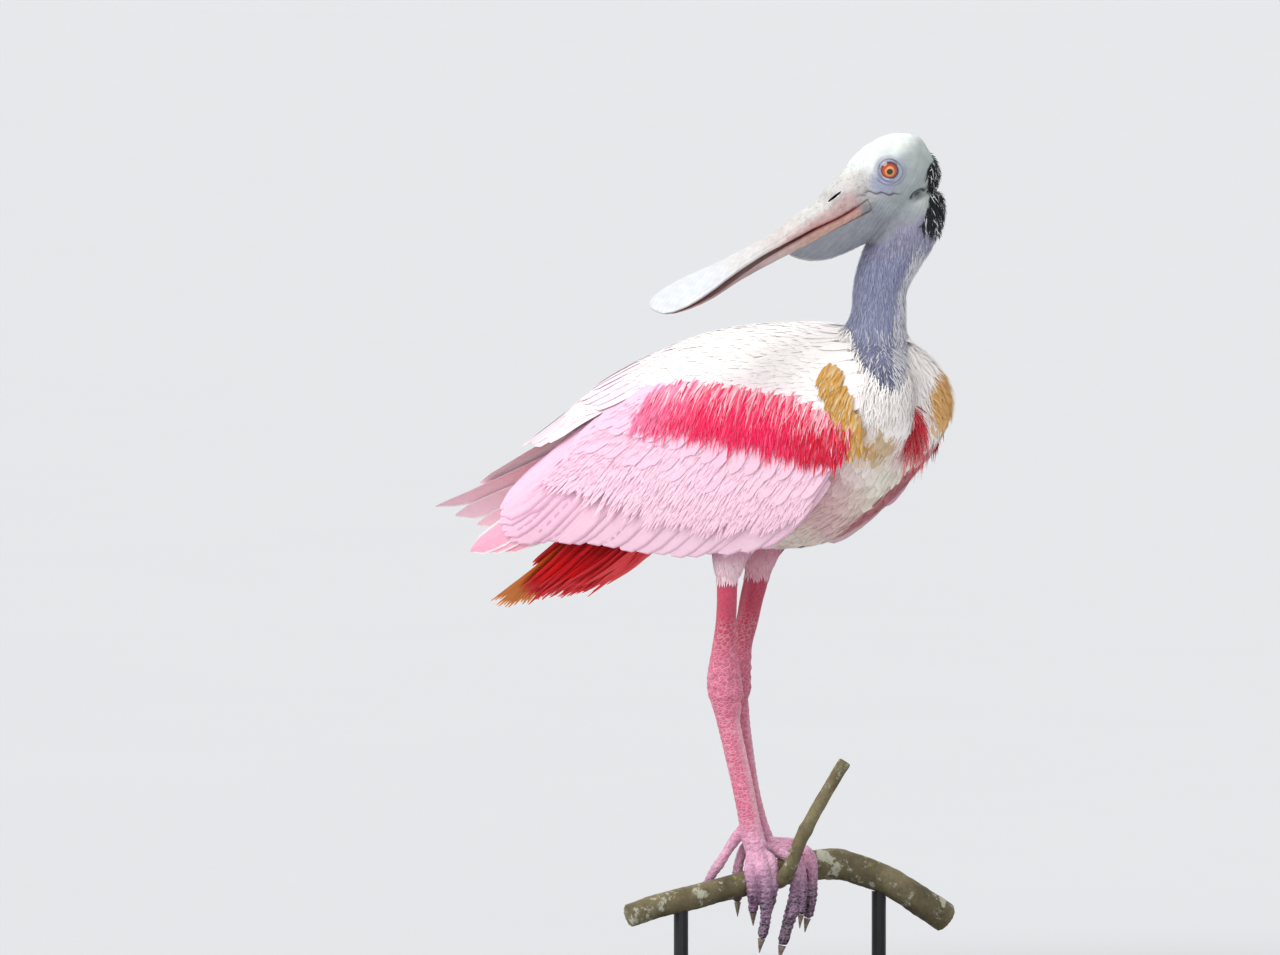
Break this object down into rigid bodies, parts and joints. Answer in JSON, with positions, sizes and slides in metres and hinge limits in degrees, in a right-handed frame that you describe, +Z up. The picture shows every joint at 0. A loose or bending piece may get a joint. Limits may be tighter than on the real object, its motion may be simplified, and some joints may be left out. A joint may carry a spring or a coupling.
{
  "type": "roseate spoonbill model",
  "caption": "Life-size model of a roseate spoonbill gripping a cut branch, head turned over its right side, held up by a plain display stand.",
  "frame": {"origin": "on the floor, under the top of the branch between the feet, at the stand's flat foot", "axes": "+X the way the breast faces, +Y the bird's left, +Z up"},
  "size_m": [0.3892, 0.2255, 0.5488],
  "materials": {
    "body_white": "matte feathers",
    "wing_pink": "matte feathers",
    "tail_orange": "matte feathers",
    "neck_slate": "short feathering over skin",
    "head_skin": "bare wrinkled skin",
    "pouch_grey": "bare skin",
    "eye_red": "gloss",
    "bill_horn": "satin horn",
    "leg_red": "scaled skin",
    "claw_horn": "satin horn",
    "bark": "bark",
    "stand_black": "satin"
  },
  "bodies": {
    "root": {"torso": "body_white", "wing_right": "wing_pink", "wing_left": "wing_pink", "neck_lower": "neck_slate", "neck_upper": "neck_slate", "head": "head_skin", "eye_left": "eye_red", "eye_right": "eye_red", "bill_upper": "bill_horn", "bill_lower": "bill_horn", "throat_pouch": "pouch_grey", "thigh_right": "body_white", "shank_right": "leg_red", "tarsus_right": "leg_red", "foot_right": "leg_red", "claw_right_middle": "claw_horn", "claw_right_outer": "claw_horn", "claw_right_inner": "claw_horn", "claw_right_hind": "claw_horn", "thigh_left": "body_white", "shank_left": "leg_red", "tarsus_left": "leg_red", "foot_left": "leg_red", "claw_left_middle": "claw_horn", "claw_left_outer": "claw_horn", "claw_left_inner": "claw_horn", "claw_left_hind": "claw_horn", "tail": "tail_orange", "perch": "bark", "stand_base": "stand_black", "stand_rod_1": "stand_black", "stand_rod_2": "stand_black"}
  },
  "joints": []
}
